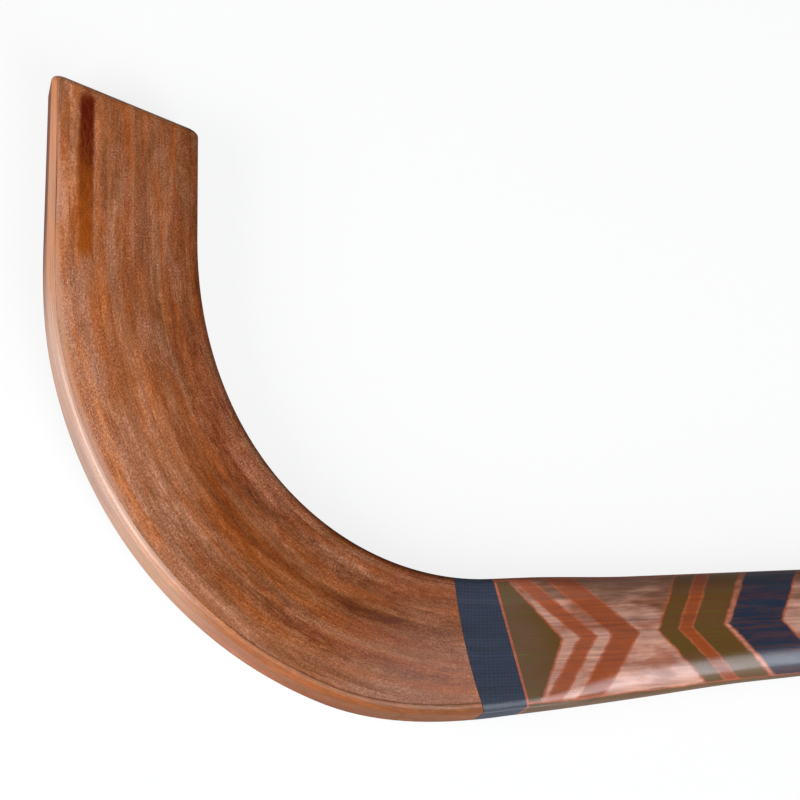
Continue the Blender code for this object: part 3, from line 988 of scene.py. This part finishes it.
def wood_material(name, group, base, sheen=SHEEN):
    """A ply's own wood under satin lacquer, darker where the tip's cut shows its end grain."""
    material, nodes, shader = new_material(name, sheen)
    place, s, u, z = nodes.place()
    wood, height = use_wood(nodes, group, place)
    outer = nodes.ramp(u, *OUTER_EDGE)
    edge_sheen = nodes.times(nodes.band(s, *EDGE_SHEEN_ALONG), outer)
    warm = nodes.times(nodes.times(nodes.band(s, *WARM), side_wall(nodes, z, *WARM_WALL)), outer)
    colour = nodes.paint(wood, PLY_SHARE, base)
    # Painted sheen: the outer edge is paled towards straw in the bend, where the left lamp's reflection
    # falls
    colour = nodes.paint(colour, nodes.times(edge_sheen, EDGE_SHEEN_SHARE), EDGE_SHEEN_STRAW)
    colour = nodes.paint(colour, warm, AMBER, "MULTIPLY")
    change = nodes.ramp(nodes.math("ABSOLUTE", z), *FIBRE_CHANGE)
    colour = nodes.shade(colour, nodes.plus(nodes.noise(place, *FIBRES), change, 1.0))
    inner = nodes.ramp(u, *INNER_EDGE)
    colour = nodes.mix(inner, colour, glazed(nodes, place, s, u, wood, INNER_GAPS)[0])
    from_glue = nodes.math("PINGPONG", u, PLY / 2.0)
    colour = nodes.paint(colour, nodes.ramp(from_glue, *GLUE_LINE), GLUE_BROWN)
    from_cut = nodes.math("ADD", nodes.plus(u, math.tan(TIP_CUT), s), TIP_STRAIGHT)
    colour = nodes.paint(colour, nodes.ramp(from_cut, *END_GRAIN), END_BROWN)
    worn = nodes.ramp(nodes.noise(place, *WEAR), *WORN)
    rough = nodes.plus(edge_sheen, nodes.ramp(z, *POLISH), worn)
    # Painted shade: the walls at the tip and the heel are darkened where they are also rubbed matt
    for along, heights, painted_shade in (TIP_MATT_AND_SHADE, HEEL_MATT_AND_SHADE):
        rubbed = nodes.times(nodes.ramp(s, *along), side_wall(nodes, z, *heights))
        colour = nodes.paint(colour, rubbed, painted_shade, "MULTIPLY")
        rough = nodes.plus(rubbed, RUBBED_ROUGH, rough)
    rough = nodes.math("MAXIMUM", rough, nodes.times(inner, INNER_ROUGH))
    lead(nodes, shader, colour, rough, height, *WOOD_BUMP)
    return material


# The weave's thread, and how far its crossings stand up
THREAD = 0.97
CROSSING = 0.35


def weave(nodes, s, u):
    """A plain weave: how high its threads stand, and how open it is at a point."""
    warp = nodes.math("SINE", nodes.times(s, math.pi / THREAD))
    weft = nodes.math("SINE", nodes.times(u, math.pi / THREAD))
    solid = nodes.times(nodes.math("ABSOLUTE", warp), nodes.math("ABSOLUTE", weft))
    return nodes.plus(nodes.times(warp, weft), CROSSING, solid), nodes.math("SUBTRACT", 1.0, solid)


# The cloth's rim, with a painted sheen in the bend where the rounding's highlight starts, and its
# border, a thin dark line towards the shaft
RIM_SHEEN = (2.6, 0.4, 0.0, 0.50)
RIM_SHEEN_ALONG = (6.0, 64.0, 9.0)
DARK_BORDER = (0.60, 0.15)
DARK_ALONG = (60.0, 112.0, 0.0, 0.62)
BORDER_BROWN = (0.10, 0.030, 0.012)
RESIN_SHEEN = 0.12
RESIN_ROUGH = (0.0, 1.0, 0.42, 0.56)
RESIN_BUMP = (0.22, 0.10)


def cloth_material(group):
    """Woven glass in clear resin over the wood, with a painted sheen on its rim in the bend and a dark
    border.
    """
    material, nodes, shader = new_material("glass_cloth", RESIN_SHEEN)
    place, s, u, z = nodes.place()
    wood = use_wood(nodes, group, place)[0]
    lift, gaps = weave(nodes, s, u)
    colour, speck = glazed(nodes, place, s, u, wood, gaps)
    rim = nodes.attribute("rim")
    # Painted sheen along the cloth's rim in the bend
    rim_sheen = nodes.times(nodes.ramp(rim, *RIM_SHEEN), nodes.band(s, *RIM_SHEEN_ALONG))
    colour = nodes.paint(colour, rim_sheen, HAZE_AND_SHEEN)
    border = nodes.times(nodes.ramp(rim, *DARK_BORDER), nodes.ramp(s, *DARK_ALONG))
    colour = nodes.paint(colour, border, BORDER_BROWN)
    lead(nodes, shader, colour, nodes.ramp(speck, *RESIN_ROUGH), lift, *RESIN_BUMP)
    return material


NAVY = (0.009, 0.017, 0.038)
OLIVE = (0.088, 0.045, 0.003)
RUST = (0.245, 0.044, 0.004)
ORANGE = (0.380, 0.085, 0.030)
# The brown of the painted shade on the film's inner side
INNER_SHADE_BROWN = (0.115, 0.036, 0.005)
SKIN_WOOD = (0.560, 0.290, 0.215)

# The print's noises
RAGGED = ((2.5, 2.5, 2.5), 3.0, 0.6)
PRINT_LINES = ((26.0, 0.70, 1.3), 4.0, 0.65)
WASH = ((14.0, 3.0, 4.0), 3.0, 0.6)
CLOUDS = ((15.0, 7.0, 7.0), 3.0, 0.6)

# The ground over the wood, its rust clouds, and painted shade in brown on the inner side, by u
GROUND_COVER = 0.80
CLOUD_RAMP = (-0.02, 0.17, 0.0, 0.62)
INNER_SHADE_RAMP = (14.0, 3.0, 0.0, 0.72)
INNER_SHADE_RAGGED = 24.0

# Printed chevrons: start and end on the shaft's middle line, slope, colour, cover
PRINT_START = 11.5
PRINT_PERIOD = 112.0
PRINT_RAGGED = 1.6
CHEVRONS = (
    (9.0, 27.0, 0.62, OLIVE, 0.92),
    (33.0, 37.5, 0.85, RUST, 0.60),
    (43.0, 50.5, 0.85, RUST, 0.72),
    (57.0, 77.0, -0.62, OLIVE, 0.92),
    (63.5, 67.0, -0.62, RUST, 0.80),
    (79.0, 95.0, -0.62, NAVY, 0.96),
)
INK_SOFT = 0.45
COVER_BY_LINES = 0.8
COVER_BY_WASH = 0.6

# The outline beside each chevron
OUTLINE = 0.7
OUTLINE_SOFT = 0.35
OUTLINE_COVER = 0.85

# A stripe along each narrow side, from so far round the section: side and colour
STRIPE_START = 18.6
STRIPES = ((-1.0, RUST), (1.0, OLIVE))
STRIPE_RAGGED = 1.2
STRIPE_OUTLINE = (-0.8, -0.4, 0.0, 0.8)
STRIPE_INK = (-0.1, 0.4, 0.0, 0.88)

# How the film's start leans, the navy band along it, and the orange line along that
START_LEAN = -0.2
NAVY_BAND = (PRINT_START + 0.2, PRINT_START - 0.1)
ORANGE_LINE = (PRINT_START + 1.0, PRINT_START + 0.6)
SHADE = 0.96
SHADE_BY_LINES = 1.5
SHADE_BY_WASH = 0.9

# The cloth below the film's start
CLOTH_BELOW = (28.0, 12.0)
GAP_SHARE = 0.12
GAP_GREY = (0.12, 0.12, 0.16)
CLOTH_ROUGH = 0.14

# The film's gloss, its scuffs, and how it is duller on the inner side and where hands hold it
FILM_SHEEN = 0.62
SCUFFS = ((9.0, 4.0, 4.0), 4.0, 0.6)
SCUFFED = (-0.2, 0.25, 0.24, 0.34)
SCUFF_HEIGHT = 0.3
INNER_SIDE = (9.0, 5.0)
INNER_SIDE_ROUGH = 0.50
HELD_SIDE = (20.0, 28.0)
HELD_WALL = (5.5, 8.0)
HELD_ROUGH = 0.45
FILM_BUMP = (0.15, 0.06)


def printed(nodes, colour, place, u, wrap, after):
    """A ground colour with painted shade on its inner side and the film's inks over it, at distances
    round and along the film.
    """
    ragged = nodes.noise(place, *RAGGED)
    print_lines = nodes.noise(place, *PRINT_LINES)
    wash = nodes.noise(place, *WASH)
    colour = nodes.paint(colour, nodes.ramp(nodes.noise(place, *CLOUDS), *CLOUD_RAMP), RUST)
    # Painted shade: the ground darkens towards the inner edge
    colour = nodes.paint(colour, nodes.ramp(nodes.plus(wash, INNER_SHADE_RAGGED, u), *INNER_SHADE_RAMP), INNER_SHADE_BROWN)
    fold = nodes.math("ABSOLUTE", wrap)
    along = nodes.plus(ragged, PRINT_RAGGED, after)
    along = nodes.math("WRAP", along, PRINT_PERIOD + PRINT_START, PRINT_START)
    for start, end, slope, ink, cover in CHEVRONS:
        at = nodes.plus(fold, slope, along)
        outline = nodes.band(at, start - OUTLINE, end + OUTLINE, OUTLINE_SOFT)
        colour = nodes.paint(colour, nodes.times(outline, OUTLINE_COVER), ORANGE)
        cover = nodes.plus(print_lines, COVER_BY_LINES, nodes.plus(wash, COVER_BY_WASH, cover))
        colour = nodes.paint(colour, nodes.times(nodes.band(at, start, end, INK_SOFT), cover), ink)
    for side, ink in STRIPES:
        past = nodes.plus(wrap, side, nodes.plus(ragged, STRIPE_RAGGED, -STRIPE_START))
        colour = nodes.paint(colour, nodes.ramp(past, *STRIPE_OUTLINE), ORANGE)
        colour = nodes.paint(colour, nodes.ramp(past, *STRIPE_INK), ink)
    colour = nodes.paint(colour, nodes.ramp(after, *ORANGE_LINE), ORANGE)
    colour = nodes.paint(colour, nodes.ramp(after, *NAVY_BAND), NAVY)
    shade = nodes.plus(print_lines, SHADE_BY_LINES, nodes.plus(wash, SHADE_BY_WASH, SHADE))
    return nodes.shade(colour, shade)


def film_material(group):
    """A glossy film printed with chevrons, through which the wood's grain shows."""
    material, nodes, shader = new_material("print_film", FILM_SHEEN)
    place, s, u, z = nodes.place()
    wrap = nodes.attribute("wrap")
    after = nodes.math("ADD", nodes.plus(u, START_LEAN, s), FILM_SKEW - FILM_LINE)
    ground = nodes.paint(use_wood(nodes, group, place)[0], GROUND_COVER, SKIN_WOOD)
    colour = printed(nodes, ground, place, u, wrap, after)
    lift, gaps = weave(nodes, s, u)
    cloth_below = nodes.ramp(after, *CLOTH_BELOW)
    colour = nodes.paint(colour, nodes.times(gaps, nodes.times(cloth_below, GAP_SHARE)), GAP_GREY)
    scuff = nodes.noise(place, *SCUFFS)
    height = nodes.math("ADD", nodes.times(lift, cloth_below), nodes.times(scuff, SCUFF_HEIGHT))
    rough = nodes.plus(nodes.ramp(u, *INNER_SIDE), INNER_SIDE_ROUGH, nodes.ramp(scuff, *SCUFFED))
    rough = nodes.plus(cloth_below, CLOTH_ROUGH, rough)
    held = nodes.times(side_wall(nodes, z, *HELD_WALL), nodes.ramp(u, *HELD_SIDE))
    rough = nodes.plus(held, HELD_ROUGH, rough)
    lead(nodes, shader, colour, rough, height, *FILM_BUMP)
    return material


# Tapes and rubber: colour, roughness, pitch of the embossing and how strong it is
TAPES = {
    "grip_tape": ((0.018, 0.018, 0.020), 0.62, 1.6, 0.5),
    "finishing_tape": ((0.012, 0.030, 0.075), 0.42, 0.5, 0.2),
    "end_cap": ((0.016, 0.016, 0.016), 0.55, 0.8, 0.1),
}
EMBOSSED = (0.2, 0.8)
EMBOSS_DEPTH = 0.15

# Where they are rubbed, how much paler they are there, and how rough
RUBS = ((5.0, 3.0, 3.0), 5.0, 0.65)
RUBBED = (-0.1, 0.3, 0.0, 0.6)
RUBBED_TIMES = 2.2
RUBBED_PLUS = 0.01
RUBBED_CHANGE = (-0.2, 0.2, -0.1, 0.08)


def tape_material(name):
    """Grip or finishing tape, or rubber, finely embossed and rubbed paler in places."""
    colour, roughness, pitch, strength = TAPES[name]
    material, nodes, shader = new_material(name)
    place, s = nodes.place()[:2]
    across = nodes.math("SINE", nodes.times(s, 2.0 * math.pi / pitch))
    around = nodes.math("SINE", nodes.times(nodes.attribute("wrap"), 2.0 * math.pi / pitch))
    emboss = nodes.ramp(nodes.times(across, around), *EMBOSSED)
    rub = nodes.noise(place, *RUBS)
    paler = [RUBBED_TIMES * c + RUBBED_PLUS for c in colour]
    tone = nodes.mix(nodes.ramp(rub, *RUBBED), (*colour, 1.0), (*paler, 1.0))
    rough = nodes.math("ADD", nodes.ramp(rub, *RUBBED_CHANGE), roughness)
    lead(nodes, shader, tone, rough, emboss, strength, EMBOSS_DEPTH)
    return material


# The room

# The floor's half side in metres, its grey for light and as seen, and its share of plain white
FLOOR_REACH = 6.0
FLOOR_GREY = (0.45, 0.45, 0.45, 1.0)
FLOOR_SEEN = (0.90, 0.90, 0.90, 1.0)
FLOOR_ROUGH = 0.9
FLOOR_WHITE = 0.85
WHITE = (1.0, 1.0, 1.0, 1.0)


def floor():
    """Pale ground, seen as white and still shaded where the stick keeps light off."""
    material, nodes, shader = new_material("floor", sheen=0.0)
    shader.inputs["Roughness"].default_value = FLOOR_ROUGH
    ray = nodes.add("LightPath", {}).outputs
    seen = nodes.math("MAXIMUM", ray["Is Camera Ray"], ray["Is Glossy Ray"])
    seen = nodes.math("MAXIMUM", seen, ray["Is Transmission Ray"])
    nodes.tree.links.new(nodes.mix(seen, FLOOR_GREY, FLOOR_SEEN), shader.inputs["Base Color"])
    white = nodes.add("Emission", {"Color": WHITE, "Strength": 1.0}).outputs[0]
    share = nodes.times(seen, FLOOR_WHITE)
    mixed = nodes.add("MixShader", {0: share, 1: shader.outputs[0], 2: white}).outputs[0]
    nodes.tree.links.new(mixed, nodes.tree.nodes["Material Output"].inputs["Surface"])
    mesh = bpy.data.meshes.new("floor")
    signs = ((-1, -1), (1, -1), (1, 1), (-1, 1))
    mesh.from_pydata([(x * FLOOR_REACH, y * FLOOR_REACH, 0.0) for x, y in signs], [], [(0, 1, 2, 3)])
    mesh.materials.append(material)
    in_scene("floor", mesh)


# Name, azimuth, elevation, distance, width and height in metres, radiance, tint
LAMPS = (
    ("left_window", 190.0, 38.0, 1.5, (0.85, 1.00), 6.8, (1.00, 1.00, 1.00)),
    ("front_window", 295.0, 41.0, 1.3, (0.50, 1.55), 6.4, (0.94, 1.00, 1.07)),
)

# The point that they face, from where the shaft's inner edge starts
LAMP_AIM = (-40.0, 30.0, 0.0)


def softbox(name, azimuth, elevation, distance, size, radiance, tint):
    """An oblong lamp that faces the blade from a direction round it."""
    lamp = bpy.data.lights.new(name, "AREA")
    lamp.shape = "RECTANGLE"
    lamp.size, lamp.size_y = size
    lamp.color = tint
    lamp.energy = radiance * math.pi * size[0] * size[1]
    turn = math.radians(azimuth)
    lift = math.radians(elevation)
    away = Vector((math.cos(lift) * math.cos(turn), math.cos(lift) * math.sin(turn), math.sin(lift)))
    holder = in_scene(name, lamp)
    holder.location = ORIGIN + Vector(LAMP_AIM) * MM + away * distance
    holder.rotation_euler = away.to_track_quat("Z", "Y").to_euler()


# The low wall by height and towards the back, and the patch overhead
WALL_BY_HEIGHT = (0.06, 0.20, 0.8, 0.12)
WALL_TO_BACK = (-0.3, 0.4, 1.0, 0.3)
OVERHEAD = (0.915, 0.95, 0.0, 0.12)


def world():
    """A white wall low down, dimmer at the back, and a dark ceiling with a paler patch overhead."""
    made = bpy.data.worlds.new("world")
    made.use_nodes = True
    nodes = Nodes(made.node_tree)
    direction = nodes.add("TexCoord", {}).outputs["Generated"]
    back, height = nodes.add("SeparateXYZ", {0: direction}).outputs[1:]
    background = made.node_tree.nodes["Background"]
    background.inputs["Color"].default_value = WHITE
    wall = nodes.times(nodes.ramp(height, *WALL_BY_HEIGHT), nodes.ramp(back, *WALL_TO_BACK))
    light = nodes.math("ADD", wall, nodes.ramp(height, *OVERHEAD))
    made.node_tree.links.new(light, background.inputs["Strength"])
    bpy.context.scene.world = made


# The middle of the view, the camera's lean to the left and towards the viewer, its roll, and in
# metres its distance and the nearest depth that it sees
VIEW_AIM = (-21.7, 56.6, 0.0)
VIEW_TILT = (math.radians(10.08), math.radians(12.5))
VIEW_ROLL = math.radians(-3.9)
VIEW_DISTANCE = 1.0
VIEW_NEAREST = 0.01
VIEW_LENS = 150.0


def camera():
    """A long lens over the blade, tilted so that the outer edge shows below and at the left."""
    back = Vector((-math.tan(VIEW_TILT[0]), -math.tan(VIEW_TILT[1]), 1.0)).normalized()
    up = Vector((0.0, 1.0, 0.0))
    up = (up - back * up.dot(back)).normalized()
    right = up.cross(back)
    turned_right = right * math.cos(VIEW_ROLL) + up * math.sin(VIEW_ROLL)
    turned_up = up * math.cos(VIEW_ROLL) - right * math.sin(VIEW_ROLL)
    data = bpy.data.cameras.new("camera")
    data.lens = VIEW_LENS
    data.clip_start = VIEW_NEAREST
    eye = in_scene("camera", data)
    aim = ORIGIN + Vector(VIEW_AIM) * MM
    turn = Matrix((turned_right, turned_up, back)).transposed()
    eye.matrix_world = Matrix.Translation(aim + back * VIEW_DISTANCE) @ turn.to_4x4()
    bpy.context.scene.camera = eye


def main():
    """The plies, the skins, the grip with its collar and cap, and the room round them."""
    group = bent_wood()
    plies = {name: wood_material(name, group, colour) for name, colour in PLY_COLOURS.items()}
    inner = wood_material("inner_ply", group, PLY_COLOURS["warm_ply"], INNER_SHEEN)
    for entry in frame["record"]["subparts"]:
        if entry["node"].startswith("lamination_"):
            slot = entry["material_slot"]
            number = int(entry["node"].split("_")[1])
            ply(number, inner if number == 1 else plies[slot])
    glass = cloth_material(group)
    cloth("cloth_front", 1, glass, "blade_cloth_front")
    cloth("cloth_back", -1, glass, "blade_cloth_back")
    print_film(film_material(group))
    grip(tape_material("grip_tape"))
    collar(tape_material("finishing_tape"))
    cap(tape_material("end_cap"))
    floor()
    for lamp in LAMPS:
        softbox(*lamp)
    world()
    camera()
    bpy.context.scene.view_settings.view_transform = "Standard"


main()
